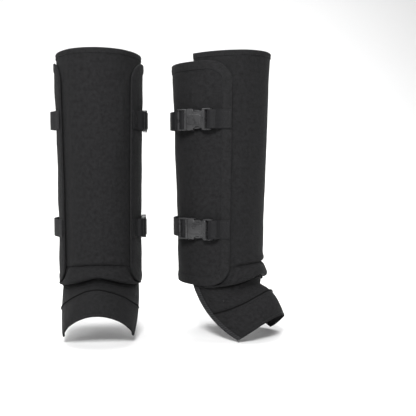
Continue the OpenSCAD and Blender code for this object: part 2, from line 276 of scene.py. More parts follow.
def rounded(y_low, y_high, z_low, z_high, r, steps=4):
    """Outline of a rectangle with round corners, counter-clockwise."""
    points = []
    corners = (
        (y_high - r, z_high - r, 0), (y_low + r, z_high - r, 90), (y_low + r, z_low + r, 180),
        (y_high - r, z_low + r, 270),
    )
    for cy, cz, start in corners:
        for i in range(steps + 1):
            a = math.radians(start + 90 * i / steps)
            points.append((cy + r * math.cos(a), cz + r * math.sin(a)))
    return points


# ---------- finishes ----------


def linear(hex_colour):
    """sRGB hex to linear RGBA."""
    rgb = [int(hex_colour[i : i + 2], 16) / 255 for i in (1, 3, 5)]
    return (*[c / 12.92 if c <= 0.04045 else ((c + 0.055) / 1.055) ** 2.4 for c in rgb], 1)


def node(tree, kind, settings=None, **links):
    """Adds a node, sets its properties and input values, and links its inputs."""
    n = tree.nodes.new(kind)
    for key, value in (settings or {}).items():
        if isinstance(key, str) and hasattr(n, key):
            setattr(n, key, value)
        else:
            n.inputs[key].default_value = value
    for key, source in links.items():
        tree.links.new(source, n.inputs[int(key[1:]) if key[0] == "_" else key.replace("_", " ")])
    return n


def new_material(name):
    m = bpy.data.materials.new(name)
    m.use_nodes = True
    tree = m.node_tree
    tree.nodes.clear()
    return m, tree


def finish_tree(tree, bsdf):
    out = tree.nodes.new("ShaderNodeOutputMaterial")
    tree.links.new(bsdf.outputs[0], out.inputs["Surface"])


def plain_weave(tree, uv, pitch):
    """Height of a plain weave: threads run over and under each other at the pitch, in metres."""
    scaled = node(tree, "ShaderNodeVectorMath", {"operation": "SCALE", "Scale": 1 / pitch}, _0=uv)
    parts = node(tree, "ShaderNodeSeparateXYZ", {}, _0=scaled.outputs[0])
    rounds = []
    for axis in (0, 1):
        turn = node(tree, "ShaderNodeMath", {"operation": "MULTIPLY", 1: math.pi}, _0=parts.outputs[axis])
        wave = node(tree, "ShaderNodeMath", {"operation": "SINE"}, _0=turn.outputs[0])
        rounds.append(node(tree, "ShaderNodeMath", {"operation": "ABSOLUTE"}, _0=wave.outputs[0]))
    over = node(tree, "ShaderNodeTexChecker", {"Scale": 1.0}, Vector=scaled.outputs[0])
    return node(
        tree, "ShaderNodeMix", {"data_type": "FLOAT"}, Factor=over.outputs["Fac"], _2=rounds[0].outputs[0],
        _3=rounds[1].outputs[0],
    )


def woven(name, dark, light, pitch, depth, rough, mottle=(190, 620), sheen=0.01):
    """Woven cloth on its own UV map, with threads, slubs and broad patches a little worn and dusty."""
    m, tree = new_material(name)
    uv = tree.nodes.new("ShaderNodeUVMap").outputs[0]
    weave = plain_weave(tree, uv, pitch)
    broad = node(tree, "ShaderNodeTexNoise", {"Scale": mottle[0], "Detail": 4.0, "Roughness": 0.6}, Vector=uv)
    stretch = node(tree, "ShaderNodeVectorMath", {"operation": "MULTIPLY", 1: (1.0, 3.2, 1.0)}, _0=uv)
    slub = node(
        tree, "ShaderNodeTexNoise", {"Scale": mottle[1], "Detail": 3.0, "Roughness": 0.7},
        Vector=stretch.outputs[0],
    )
    both = node(tree, "ShaderNodeMix", {"data_type": "FLOAT", "Factor": 0.5}, _2=broad.outputs[0], _3=slub.outputs[0])
    thread = node(
        tree, "ShaderNodeMix", {"data_type": "FLOAT", "Factor": 0.22}, _2=both.outputs[0],
        _3=weave.outputs[0],
    )
    ramp = node(tree, "ShaderNodeValToRGB", {}, _0=thread.outputs[0])
    ramp.color_ramp.elements[0].position = 0.43
    ramp.color_ramp.elements[0].color = linear(dark)
    ramp.color_ramp.elements[1].position = 0.61
    ramp.color_ramp.elements[1].color = linear(light)
    level = node(
        tree, "ShaderNodeMapRange",
        {"From Min": 0.3, "From Max": 0.7, "To Min": rough - 0.06, "To Max": rough + 0.06},
        _0=broad.outputs[0],
    )
    fine = node(tree, "ShaderNodeBump", {"Strength": 0.55, "Distance": depth * MM}, Height=weave.outputs[0])
    soft = node(
        tree, "ShaderNodeBump", {"Strength": 0.6, "Distance": 0.6 * MM}, Height=both.outputs[0],
        Normal=fine.outputs[0],
    )
    bsdf = node(
        tree,
        "ShaderNodeBsdfPrincipled",
        {"Specular IOR Level": 0.16, "Sheen Weight": sheen, "Sheen Roughness": 0.4},
        Base_Color=ramp.outputs[0],
        Roughness=level.outputs[0],
        Normal=soft.outputs[0],
    )
    finish_tree(tree, bsdf)
    return m


def ribbed(name, dark, light, rib, across, depth, rough):
    """Narrow woven tape: ribs at a spacing in metres, across or along its length, over a fine weave."""
    m, tree = new_material(name)
    uv = tree.nodes.new("ShaderNodeUVMap").outputs[0]
    direction = "X" if across else "Y"
    ribs = node(
        tree, "ShaderNodeTexWave",
        {"bands_direction": direction, "Scale": 0.314 / rib, "Distortion": 0.35, "Detail": 2.0, "Detail Scale": 6.0},
        Vector=uv,
    )
    weave = plain_weave(tree, uv, 0.0009)
    slub = node(tree, "ShaderNodeTexNoise", {"Scale": 330.0, "Detail": 3.0, "Roughness": 0.65}, Vector=uv)
    height = node(
        tree, "ShaderNodeMix", {"data_type": "FLOAT", "Factor": 0.35}, _2=ribs.outputs["Fac"],
        _3=weave.outputs[0],
    )
    tint = node(
        tree, "ShaderNodeMix", {"data_type": "FLOAT", "Factor": 0.5}, _2=height.outputs[0],
        _3=slub.outputs[0],
    )
    ramp = node(tree, "ShaderNodeValToRGB", {}, _0=tint.outputs[0])
    ramp.color_ramp.elements[0].position = 0.25
    ramp.color_ramp.elements[0].color = linear(dark)
    ramp.color_ramp.elements[1].position = 0.75
    ramp.color_ramp.elements[1].color = linear(light)
    bump = node(tree, "ShaderNodeBump", {"Strength": 0.7, "Distance": depth * MM}, Height=height.outputs[0])
    bsdf = node(
        tree,
        "ShaderNodeBsdfPrincipled",
        {"Specular IOR Level": 0.2, "Roughness": rough, "Sheen Weight": 0.01, "Sheen Roughness": 0.5},
        Base_Color=ramp.outputs[0],
        Normal=bump.outputs[0],
    )
    finish_tree(tree, bsdf)
    return m


def moulded(name, dark, light, rough, grain, depth):
    """Injection-moulded plastic with a spark-eroded grain and faint rubbed patches."""
    m, tree = new_material(name)
    at = tree.nodes.new("ShaderNodeTexCoord").outputs["Object"]
    spark = node(tree, "ShaderNodeTexNoise", {"Scale": 1 / grain, "Detail": 2.0, "Roughness": 0.5}, Vector=at)
    patch = node(tree, "ShaderNodeTexNoise", {"Scale": 90.0, "Detail": 3.0, "Roughness": 0.6}, Vector=at)
    ramp = node(tree, "ShaderNodeValToRGB", {}, _0=patch.outputs[0])
    ramp.color_ramp.elements[0].position = 0.35
    ramp.color_ramp.elements[0].color = linear(dark)
    ramp.color_ramp.elements[1].position = 0.65
    ramp.color_ramp.elements[1].color = linear(light)
    level = node(
        tree, "ShaderNodeMapRange",
        {"From Min": 0.3, "From Max": 0.7, "To Min": rough - 0.05, "To Max": rough + 0.07},
        _0=patch.outputs[0],
    )
    bump = node(tree, "ShaderNodeBump", {"Strength": 0.25, "Distance": depth * MM}, Height=spark.outputs[0])
    bsdf = node(
        tree, "ShaderNodeBsdfPrincipled", {"IOR": 1.48, "Specular IOR Level": 0.5},
        Base_Color=ramp.outputs[0], Roughness=level.outputs[0], Normal=bump.outputs[0],
    )
    finish_tree(tree, bsdf)
    return m


def tufted(name, dark, light, pitch, depth):
    """Touch fastener: a field of hooks or loops, drawn as raised dots at their spacing in metres."""
    m, tree = new_material(name)
    at = tree.nodes.new("ShaderNodeTexCoord").outputs["Object"]
    dots = node(tree, "ShaderNodeTexVoronoi", {"Scale": 1 / pitch, "Randomness": 0.6}, Vector=at)
    ramp = node(tree, "ShaderNodeValToRGB", {}, _0=dots.outputs["Distance"])
    ramp.color_ramp.elements[0].color = linear(light)
    ramp.color_ramp.elements[1].color = linear(dark)
    bump = node(
        tree, "ShaderNodeBump", {"Strength": 0.8, "Distance": depth * MM, "invert": True},
        Height=dots.outputs["Distance"],
    )
    bsdf = node(
        tree, "ShaderNodeBsdfPrincipled", {"Roughness": 0.9, "Specular IOR Level": 0.2},
        Base_Color=ramp.outputs[0], Normal=bump.outputs[0],
    )
    finish_tree(tree, bsdf)
    return m


def make_finishes():
    """Every finish of the pair, by name."""
    return {
        # Plain-woven coated nylon: matt charcoal, threads about 0.5 mm apart drawn at 0.8 mm to show.
        "nylon": woven("coated_nylon_plain_weave", "#060607", "#242425", 0.0008, 0.18, 0.84),
        # Hem of the same nylon folded double: denser, so a little smoother and lighter.
        "hem": woven("folded_nylon_hem", "#060607", "#252526", 0.0008, 0.14, 0.80, (200, 640)),
        # Smooth taffeta lining: fine threads and a little more gloss.
        "lining": woven("taffeta_lining", "#0a0a0b", "#1a1a1c", 0.0009, 0.05, 0.6, (40, 160), 0.0),
        # Turned-under face of the cuff's hem, nearly black as painted shadow under the hem; the same finish draws the
        # painted shadow line along the instep seam. Fine weave drawn at 0.8 mm.
        "painted_shadow": woven("painted_shadow_nylon", "#020202", "#080809", 0.0008, 0.08, 0.9, (120, 480), 0.0),
        # Nylon binding tape: ribs across its length, 1.7 mm apart drawn at 3.4 mm to show.
        "tape": ribbed("ribbed_binding_tape", "#09090a", "#343436", 0.0034, True, 0.5, 0.74),
        # Nylon webbing: fine ribs along its length, 1.7 mm apart.
        "webbing": ribbed("nylon_webbing", "#060607", "#1d1d1f", 0.0017, False, 0.2, 0.68),
        # Moulded acetal buckle: fine spark grain, half gloss.
        "acetal": moulded("moulded_acetal", "#2d2d2e", "#39393a", 0.28, 0.0006, 0.02),
        # Bonded polyester thread: smooth and slightly glossy beside the cloth.
        "thread": moulded("bonded_polyester_thread", "#040405", "#0c0c0d", 0.6, 0.0003, 0.02),
        # Polycarbonate plate in its pocket: pale grey and glossy.
        "plate": moulded("polycarbonate_plate", "#9a9ea2", "#b4b8bb", 0.3, 0.002, 0.01),
        # Loop side of the touch fastener: a soft tangle.
        "loop": tufted("woven_loop_pile", "#151516", "#2b2b2d", 0.0011, 0.3),
        # Hook side of the touch fastener: stiff moulded hooks.
        "hook": tufted("moulded_hooks", "#101011", "#262628", 0.0014, 0.5),
    }


FINISH = make_finishes()
BEND = ("gaiter", "flap", (BEND_X[0], 0, 150), (BEND_X[1], 0, 150))
SEED = {"left": 3.1, "right": 41.7}


# ---------- stitching ----------


def stitch_row(name, side, route, pitch, length, width, body, finish="thread"):
    """A row of thread stitches along a route of points and outward normals, in millimetres."""
    bpy.ops.mesh.primitive_uv_sphere_add(segments=6, ring_count=4, radius=0.5)
    bead = added(name + "_bead")
    bm = bmesh.new()
    spacing = pitch
    travelled = 0.0
    next_at = pitch * 0.5
    for (p, n), (q, _) in zip(route, route[1:]):
        step = (q - p).length
        while step > 1e-6 and next_at <= travelled + step:
            at = p.lerp(q, (next_at - travelled) / step)
            along = (q - p).normalized()
            up = n.normalized()
            side_way = along.cross(up).normalized()
            up = side_way.cross(along)
            basis = Matrix((along * length, side_way * width, up * width)).transposed().to_4x4()
            before = len(bm.verts)
            bm.from_mesh(bead.data)
            bm.verts.ensure_lookup_table()
            bmesh.ops.transform(bm, matrix=Matrix.Translation(at) @ basis, verts=bm.verts[before:])
            next_at += spacing
        travelled += step
    mesh = bpy.data.meshes.new(name)
    bm.to_mesh(mesh)
    bm.free()
    bpy.data.objects.remove(bead)
    obj = bpy.data.objects.new(name, mesh)
    bpy.context.collection.objects.link(obj)
    only(obj)
    return finish_piece(obj, side, FINISH[finish], body, (), 60)


def skin_route(places):
    """Points and outward normals for places listed as (angle, height, distance)."""
    return [(skin(a, z, d), Vector((math.sin(math.radians(a)), -math.cos(math.radians(a)), 0))) for a, z, d in places]


# ---------- front shell ----------


def crease_z(a):
    """Height of the crease at the foot of the stiff shell: it dips towards the sides."""
    return CUFF_TOP - 7 * math.sin(math.radians(min(abs(a), 60))) ** 2


def shell_top(a):
    return SHELL_TOP + SHELL_ARCH * math.cos(math.radians(a))


def shell_lift(a, z, seed):
    """How far the shell's cloth stands off its plates. It lies flat where the back wraps over it."""
    free = ease((47 - abs(a)) / 12)
    swell = 1.0 + 1.5 * relief(a, z, 34, 80, seed) + 0.5 * relief(a, z, 13, 24, seed + 9)
    rim = ease((z - crease_z(a)) / 7)
    return free * (max(swell, -0.2) * rim + 1.9 * ease((crease_z(a) + 14 - z) / 10))


SHELL_PUCKERS = {
    "left": (
        (-20, 44, 24, 4, 6, 0.6), (24, 50, 22, 4, -9, 0.5), (20, 286, 16, 5, 18, 0.9),
        (28, 278, 12, 4, -20, -0.8), (-30, 120, 50, 9, 84, 0.5),
    ),
    "right": (
        (20, 46, 20, 4, -10, 0.6), (30, 110, 60, 8, 86, 0.6), (20, 200, 50, 9, 84, 0.5),
        (36, 284, 24, 4, 78, 0.6),
    ),
}


def build_shell(side, cfg):
    seed = SEED[side]

    def place(s, t):
        a = mix(-SHELL_EDGE, SHELL_EDGE, s)
        z = mix(crease_z(a), shell_top(a) - 1.2, t)
        free = ease((47 - abs(a)) / 10)
        d = 2.65 + shell_lift(a, z, seed) + free * folds(a, z, SHELL_PUCKERS[side])
        d -= 2.0 * ease((crease_z(a) + 2.6 - z) / 2.6) * free
        return skin(a, z, d), (a * 1.02, z)

    piece, area = cloth(f"{side}_front_shell_cloth", 120, 150, place, 0.8)
    finish_piece(piece, side, FINISH["nylon"], "gaiter", ("shell_outer",))
    profile = (
        (7.2, 2.75), (6.8, 3.15), (5.0, 3.35), (1.4, 3.35), (0.3, 3.1), (-0.2, 2.2), (-0.2, 0.8), (0.3, 0.0),
        (1.4, -0.3), (5.2, -0.35),
    )

    def tape_place(s, t):
        a = mix(-SHELL_EDGE, SHELL_EDGE, s)
        q, d = profile[round((1 - t) * (len(profile) - 1))]
        lift = shell_lift(a, shell_top(a) - 4, seed) if d > 1.5 else 0
        return skin(a, shell_top(a) - q, d + lift), (a, q + (0 if d > 1.5 else 12))

    # The profile runs from the inside leg up and over to the outside one.
    tape, _ = cloth(f"{side}_shell_top_hem", 120, len(profile) - 1, lambda s, t: tape_place(s, 1 - t), 0.4)
    flip_if_inward(tape)
    finish_piece(tape, side, FINISH["hem"], "gaiter", ("shell_binding",))
    rows = []
    for q in (1.6, 5.9):
        places = []
        for i in range(181):
            a = mix(-SHELL_EDGE + 1, SHELL_EDGE - 1, i / 180)
            places.append((a, shell_top(a) - q, 3.42 + shell_lift(a, shell_top(a) - 4, seed)))
        rows.append(stitch_row(f"{side}_shell_hem_stitches_{len(rows)}", side, skin_route(places), cfg.stitch_pitch, cfg.stitch_pitch * 0.72, 0.5, "gaiter"))


def flip_if_inward(obj):
    """Turns a rim's faces out if they point in at its highest face."""
    mesh = obj.data
    top = max(mesh.polygons, key=lambda p: p.center.z)
    if top.normal.z < 0:
        mesh.flip_normals()


# ---------- back wrap ----------


def wrap_lift(a, z, seed):
    """Unevenness of the back's cloth, kept flat under the straps and buckles."""
    near = min(abs(z - STRAP_Z["upper"]), abs(z - STRAP_Z["lower"]))
    free = ease((near - 14) / 26)
    edge = min(a - FLAP_EDGE, INNER_EDGE - a, z, WRAP_H - z)
    free *= ease(edge / 16)
    pull = 0
    for level in STRAP_Z.values():
        off = z - level
        pull += 0.45 * math.exp(-((abs(off) - 22) / 10) ** 2) * math.cos(math.radians((a - 88) * 9)) * ease((40 - abs(a - 92)) / 18)
    swell = 0.6 + 1.1 * relief(a, z, 40, 70, seed + 5) + 0.4 * relief(a, z, 14, 24, seed + 2)
    return free * max(swell, -0.1) + pull * ease(edge / 16)


def corner_in(from_edge):
    """How far the round corner takes the hem in, at a distance from the panel's edge."""
    if from_edge >= CORNER_R:
        return 0
    return CORNER_R - math.sqrt(max(0, CORNER_R**2 - (CORNER_R - from_edge) ** 2))


def wrap_outline(count_side, count_corner, count_hem):
    """The back's edge all the way round, as (angle, height, step in angle, step in height) inwards."""
    r = CORNER_R
    out = []
    for i in range(count_hem):
        out.append((mix(FLAP_EDGE + r, INNER_EDGE - r, i / count_hem), WRAP_H, 0, -1))
    for edge, way, high in (
        (INNER_EDGE, -1, True), (INNER_EDGE, -1, False), (FLAP_EDGE, 1, False), (FLAP_EDGE, 1, True),
    ):
        for i in range(count_corner):
            turn = math.radians(90 * i / count_corner)
            if (edge == INNER_EDGE) == high:
                sa, sz = math.sin(turn), math.cos(turn)
            else:
                sa, sz = math.cos(turn), math.sin(turn)
            z = WRAP_H - r * (1 - sz) if high else r * (1 - sz)
            out.append((edge + way * r * (1 - sa), z, way * sa, -sz if high else sz))
        if edge == INNER_EDGE and high:
            out += [(edge, mix(WRAP_H - r, r, i / count_side), way, 0) for i in range(count_side)]
        elif edge == INNER_EDGE:
            out += [(mix(INNER_EDGE - r, FLAP_EDGE + r, i / count_hem), 0, 0, 1) for i in range(count_hem)]
        elif not high:
            out += [(edge, mix(r, WRAP_H - r, i / count_side), way, 0) for i in range(count_side)]
    return out


def build_back(side, cfg):
    seed = SEED[side]

    def place(s, t):
        # Columns crowd towards the two round-cornered edges.
        u = mix(s, ease(s), 0.45)
        a = mix(FLAP_EDGE + 1.2, INNER_EDGE - 1.2, u)
        cut_in = corner_in(min(a - FLAP_EDGE, INNER_EDGE - a)) + 1.2
        z = mix(cut_in, WRAP_H - cut_in, t)
        return skin(a, z, 5.85 + wrap_lift(a, z, seed)), (a * 1.08, z)

    piece, area = cloth(f"{side}_back_cloth", 190, 120, place, 0.85)
    finish_piece(piece, side, FINISH["nylon"], BEND, ("back_panel", "flap_panel"))

    def lining_place(s, t):
        u = mix(s, ease(s), 0.45)
        a = mix(FLAP_EDGE + 2, INNER_EDGE - 2, u)
        cut_in = corner_in(min(a - FLAP_EDGE, INNER_EDGE - a)) + 2
        return skin(a, mix(cut_in, WRAP_H - cut_in, t), 4.85), (a, mix(cut_in, WRAP_H - cut_in, t))

    lining, lining_area = cloth(f"{side}_back_lining_cloth", 120, 60, lining_place, 0.5)
    finish_piece(lining, side, FINISH["lining"], BEND, ("back_lining", "flap_lining"))
    outline = wrap_outline(110, 14, 120)
    profile = (
        (5.5, 3.95), (4.6, 3.85), (0.8, 3.85), (0, 4.1), (-0.45, 4.9), (-0.4, 5.6), (0.1, 6.3), (1.2, 6.6),
        (2.6, 6.5), (6, 6.75), (9.6, 6.5), (BAND_W - 0.3, 6.45), (BAND_W, 6.0),
    )

    def band_place(s, t):
        i = round(s * len(outline)) % len(outline)
        a, z, da, dz = outline[i]
        q, d = profile[round(t * (len(profile) - 1))]
        pucker = 0.13 * math.sin(i * 1.7) * math.sin(math.pi * min(1, max(0, q / BAND_W))) if d > 6.2 else 0
        lift = wrap_lift(a + da * 16, z + dz * 16, seed) * ease((q - 3) / 8) * 0.35
        return skin(a + da * q, z + dz * q, d + pucker + lift), (s * 1050, q + (0 if d > 5 else 9))

    band, _ = cloth(f"{side}_back_hem", len(outline), len(profile) - 1, band_place, 0.4, closed=True)
    point_out(band)
    finish_piece(band, side, FINISH["hem"], BEND, ("back_binding", "flap_binding"))
    rows = []
    for q in (2.4, 9.4):
        places = [(a + da * q, z + dz * q, 6.62) for a, z, da, dz in outline + outline[:1]]
        rows.append(stitch_row(f"{side}_back_hem_stitches_{len(rows)}", side, skin_route(places), cfg.stitch_pitch, cfg.stitch_pitch * 0.72, 0.5, BEND))


def point_out(obj):
    """Turns a tube or rim's faces so that its widest face points away from the leg."""
    far = max(obj.data.polygons, key=lambda p: p.center.x**2 + p.center.y**2)
    if far.normal.x * far.center.x + far.normal.y * far.center.y < 0:
        obj.data.flip_normals()


# ---------- ankle cuff and instep guard ----------


def cuff_low(a):
    """Height of the cuff's hem: an upside-down V over the instep."""
    s = math.sin(math.radians(min(abs(a), 90)))
    return 12.5 - 18 * (math.sqrt(s * s + 0.012) - 0.11)


CUFF_FOLDS = {
    "left": (
        (-38, 10, 22, 3.0, -24, 0.9), (36, 8, 24, 3.2, 26, 1.1), (38, 24, 12, 2.0, -38, -0.8),
        (-8, 22, 16, 2.6, 10, 0.6), (-50, 20, 12, 2.0, 40, 0.7),
    ),
    "right": (
        (34, 12, 26, 3.0, 20, 1.0), (52, 10, 12, 2.2, 35, -0.9), (60, 4, 12, 1.8, 10, 0.9),
        (20, 22, 20, 2.4, 8, 0.7), (-30, 14, 20, 3.0, -20, 0.8),
    ),
}


def build_cuff(side, cfg):
    seed = SEED[side] + 20

    def place(s, t):
        a = mix(-SHELL_EDGE, SHELL_EDGE, s)
        low, crease = cuff_low(a), crease_z(a)
        # The hem turns under for the first part of the grid, so the cloth hangs over the guard.
        under = max(0, 1 - t / 0.16)
        z = low + 3.4 * under if under else mix(low, crease + 5, (t - 0.16) / 0.84)
        up = min(1, max(0, (z - low) / (crease - low)))
        # The back wraps over the cuff beyond its own edge, which curves away below its round corner.
        edge = FLAP_EDGE + (5 if a < 0 else 0) + (40 if z < 0 else corner_in(z))
        free = ease((edge - 3 - abs(a)) / 9)
        if under:
            return skin(a, z, 2.95 + free * 0.9 * (1 - under)), (a * 1.02, t * 46)
        high = mix(6.6, 4.2, ease((abs(a) - 45) / 30))
        swell = high * math.sin(math.pi * up**0.42) ** 0.9 if up < 1 else 0
        body = math.sin(math.pi * up)
        loose = folds(a, z, CUFF_FOLDS[side]) + 0.3 * relief(a, z, 9, 7, seed) + 0.6 * relief(a, z, 26, 18, seed + 4)
        base = mix(3.7 * free + 2.9 * (1 - free), 1.2, ease((up - 0.78) / 0.22))
        return skin(a, z, base + free * (swell + loose * body)), (a * 1.02, t * 46)

    piece, area = cloth(f"{side}_ankle_cuff_cloth", 150, 44, place, 0.6)
    finish_piece(piece, side, FINISH["nylon"], "gaiter", ("ankle_cuff",))

    # A nearly black strip that hangs just below the cuff's hem, longest towards the sides: painted shadow under the
    # hem.
    def hem_shadow_place(s, t):
        a = mix(-70, 70, s)
        hang = 0.4 + 2.6 * math.sin(math.pi * abs(a) / 70) ** 0.8
        return skin(a, mix(cuff_low(a) + 5, cuff_low(a) - hang, t), mix(3.6, 3.9, t)), (a, t * 9)

    hem_shadow, _ = cloth(f"{side}_cuff_hem_painted_shadow", 110, 10, hem_shadow_place, 0.3)
    finish_piece(hem_shadow, side, FINISH["painted_shadow"], "gaiter", ("ankle_cuff",))


def guard_fold_z(a):
    """Height at which the guard leaves the leg, always below the cuff's hem."""
    turn = abs(a) / GUARD_ANGLE
    return 4 - 2 * turn - 8 * math.sin(math.pi * turn) ** 2


def guard_in(a):
    return 0.6 - 2.4 * max(0, (abs(a) - 60) / (GUARD_ANGLE - 60)) ** 1.5


def guard_point(a, v):
    """The guard's surface: v is 0 at the fold over the ankle and 1 at the lower hem."""
    t = math.radians(a * 90 / GUARD_ANGLE)
    top = skin(a, guard_fold_z(a), guard_in(a))
    low = Vector((44.5 * math.sin(t), -(99 - 34 * (1 - math.cos(t))), -65 + 33 * max(math.cos(t), 0) ** 1.2))
    middle = (top + low) / 2 + math.cos(t) ** 2 * Vector((0, -10, 12)) + abs(math.sin(t)) ** 5 * Vector((0, 14, -15))
    middle.x += 6 * math.sin(t) * abs(math.sin(t))
    return (1 - v) ** 2 * top + 2 * v * (1 - v) * middle + v * v * low


def guard_out(a, v, d):
    """A point a distance out from the guard."""
    across = guard_point(a + 0.5, v) - guard_point(a - 0.5, v)
    up = guard_point(a, max(v - 0.02, 0)) - guard_point(a, v + 0.02)
    return guard_point(a, v) + across.cross(up).normalized() * d


GUARD_FOLDS = {
    "left": ((-45, 30, 30, 5, 60, 0.7), (40, 40, 26, 5, -60, 0.6), (5, 60, 40, 8, 4, 0.5), (-70, 70, 20, 5, 70, 0.6)),
    "right": (
        (40, 26, 30, 4.5, -40, 0.8), (55, 50, 34, 5, -55, 0.7), (78, 20, 14, 3, -20, 0.8),
        (10, 55, 36, 8, 8, 0.5),
    ),
}


def guard_lift(a, v, seed, table):
    rows = v * 85
    inner = ease((v - 0.12) / 0.15) * ease((GUARD_ANGLE - 4 - abs(a)) / 14)
    return inner * (folds(a, rows, table) + 1.2 * relief(a, rows, 34, 30, seed) + 0.4 * relief(a, rows, 11, 12, seed + 3))


def seam_v(a):
    return 0.36 + 0.14 * math.sin(math.radians(a * 90 / GUARD_ANGLE)) ** 2


def build_guard(side, cfg):
    seed = SEED[side] + 60
    table = GUARD_FOLDS[side]

    def place(s, t):
        a = mix(-GUARD_ANGLE, GUARD_ANGLE, s)
        if t > 0.88:
            up = (t - 0.88) / 0.12
            return skin(a, mix(guard_fold_z(a), 14, up), guard_in(a) + GUARD_T), (a, 85 + up * 10)
        v = 1 - t / 0.88
        return guard_out(a, v, GUARD_T + guard_lift(a, v, seed, table)), (a, 85 * (1 - v))

    piece, area = cloth(f"{side}_instep_guard_cloth", 140, 90, place, 1.0)
    finish_piece(piece, side, FINISH["nylon"], "instep_guard", ("foot_guard",))

    def overlay_place(s, t):
        a = mix(-96, 96, s)
        v = mix(1.0, seam_v(a), t)
        edge = 0.6 * ease((0.05 - (v - seam_v(a))) / 0.03) + 0.3 * ease((v - 0.955) / 0.03)
        return guard_out(a, min(v, 1.0), GUARD_T + 0.85 + guard_lift(a, v, seed, table) + edge), (a * 0.98, 85 * (1 - v))

    overlay, overlay_area = cloth(f"{side}_instep_overlay_cloth", 140, 70, overlay_place, 0.7)
    finish_piece(overlay, side, FINISH["nylon"], "instep_guard", ("foot_overlay",))
    edges = []
    for way in (-1, 1):
        width = (
            (9.8, 1.1), (9.2, 1.75), (5, 1.95), (1.0, 1.9), (-0.6, 1.2), (-0.9, 0.4), (-0.4, -0.35),
            (1.0, -0.6), (6, -0.7),
        )

        def tape_place(s, t, way=way, width=width):
            q, d = width[round(t * (len(width) - 1))]
            v = mix(1.0, 0.03, s)
            a = way * (GUARD_ANGLE - q)
            lift = guard_lift(a, v, seed, table) if d > 1 else 0
            return guard_out(a, v, GUARD_T + d + lift), (s * 98, q + (0 if d > 0 else 12))

        strip, _ = cloth(f"{side}_guard_edge_{'outer' if way > 0 else 'inner'}", 90, len(width) - 1, tape_place, 0.35)
        point_out(strip)
        edges.append(strip)
    tape = joined(edges, f"{side}_guard_edge_tape")
    finish_piece(tape, side, FINISH["tape"], "instep_guard", ("foot_binding",))
    rows = []
    for way in (-1, 1):
        a = way * (GUARD_ANGLE - 8.2)
        route = []
        for i in range(80):
            v = mix(0.985, 0.06, i / 79)
            p = guard_out(a, v, GUARD_T + 1.98 + guard_lift(a, v, seed, table))
            route.append((p, p - guard_point(a, v)))
        rows.append(stitch_row(f"{side}_guard_tape_stitches_{len(rows)}", side, route, cfg.stitch_pitch, cfg.stitch_pitch * 0.72, 0.45, "instep_guard"))
        for k in range(2):
            v = 0.93 - 0.022 * k
            route = []
            for i in range(12):
                b = way * (GUARD_ANGLE - mix(0.4, 9.4, i / 11))
                p = guard_out(b, v, GUARD_T + 2.05)
                route.append((p, p - guard_point(b, v)))
            rows.append(stitch_row(f"{side}_guard_tab_stitches_{len(rows)}", side, route, 2.2, 1.6, 0.45, "instep_guard"))
    # A wide row of nearly black beads just above the overlay's seam: a painted shadow line where the overlay's edge
    # shades the guard.
    seam_shadow_route = []
    for i in range(190):
        a = mix(-95, 95, i / 189)
        v = seam_v(a) - 0.009
        p = guard_out(a, v, GUARD_T + 1.75 + guard_lift(a, v, seed, table))
        seam_shadow_route.append((p, p - guard_point(a, v)))
    rows.append(stitch_row(f"{side}_instep_seam_painted_shadow", side, seam_shadow_route, 1.4, 2.6, 2.1, "instep_guard", "painted_shadow"))
    # A short dark bar of thread beads sits on the guard's corner under the cuff.
    p = guard_out(66, 0.24, GUARD_T + 1.1)
    out = p - guard_point(66, 0.24)
    rows.append(stitch_row(f"{side}_guard_corner_dark_bar", side, [(p, out), (p + Vector((0, 0, -2)), out)], 2.0, 3.0, 2.6, "instep_guard"))
    for inset in (0.03, 0.955):
        route = []
        for i in range(150):
            a = mix(-95, 95, i / 149)
            v = seam_v(a) + inset if inset < 0.5 else inset
            p = guard_out(a, v, GUARD_T + 1.2 + guard_lift(a, v, seed, table))
            route.append((p, p - guard_point(a, v)))
        rows.append(stitch_row(f"{side}_guard_seam_stitches_{len(rows)}", side, route, cfg.stitch_pitch, cfg.stitch_pitch * 0.72, 0.42, "instep_guard"))


# ---------- linings, plates and touch fastener ----------


def build_inside(side, cfg):
    def lining_place(s, t):
        a = mix(-SHELL_EDGE + 0.5, SHELL_EDGE - 0.5, s)
        z = mix(CUFF_TOP - 6, shell_top(a) - 2, t)
        return skin(a, z, 0.6), (a, z)

    lining, area = cloth(f"{side}_shell_lining_cloth", 80, 40, lining_place, 0.5)
    finish_piece(lining, side, FINISH["lining"], "gaiter", ("shell_lining",))

    def strip(name, edge, d):
        def strip_place(s, t):
            a, z = mix(edge, edge + 22, s), mix(46, WRAP_H - 16, t)
            return skin(a, z, d), (a, z)

        return cloth(name, 14, 70, strip_place, 0.45)[0]

    edges = (FLAP_EDGE + 12, -FLAP_EDGE - 39)
    loops = [strip(f"{side}_loop_{i}", edge, 3.2) for i, edge in enumerate(edges)]
    loop = joined(loops, f"{side}_loop_strips_pile")
    finish_piece(loop, side, FINISH["loop"], "gaiter", ("loop_strips",))
    hook = strip(f"{side}_hook_strip_field", FLAP_EDGE + 12, 4.2)
    finish_piece(hook, side, FINISH["hook"], "flap", ("hook_strip",))
    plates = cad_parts[f"{side}_shin_plates"]
    plates.data.materials.clear()
    plates.data.materials.append(FINISH["plate"])


# ---------- straps ----------


def buckle_x(z):
    """Where a buckle's inner face stands, just off the back's cloth."""
    return half_w(z + BUCKLE_W / 2) + 6.2


def plan(a, z, d):
    p = skin(a, z, d)
    return Vector((p.x, p.y))


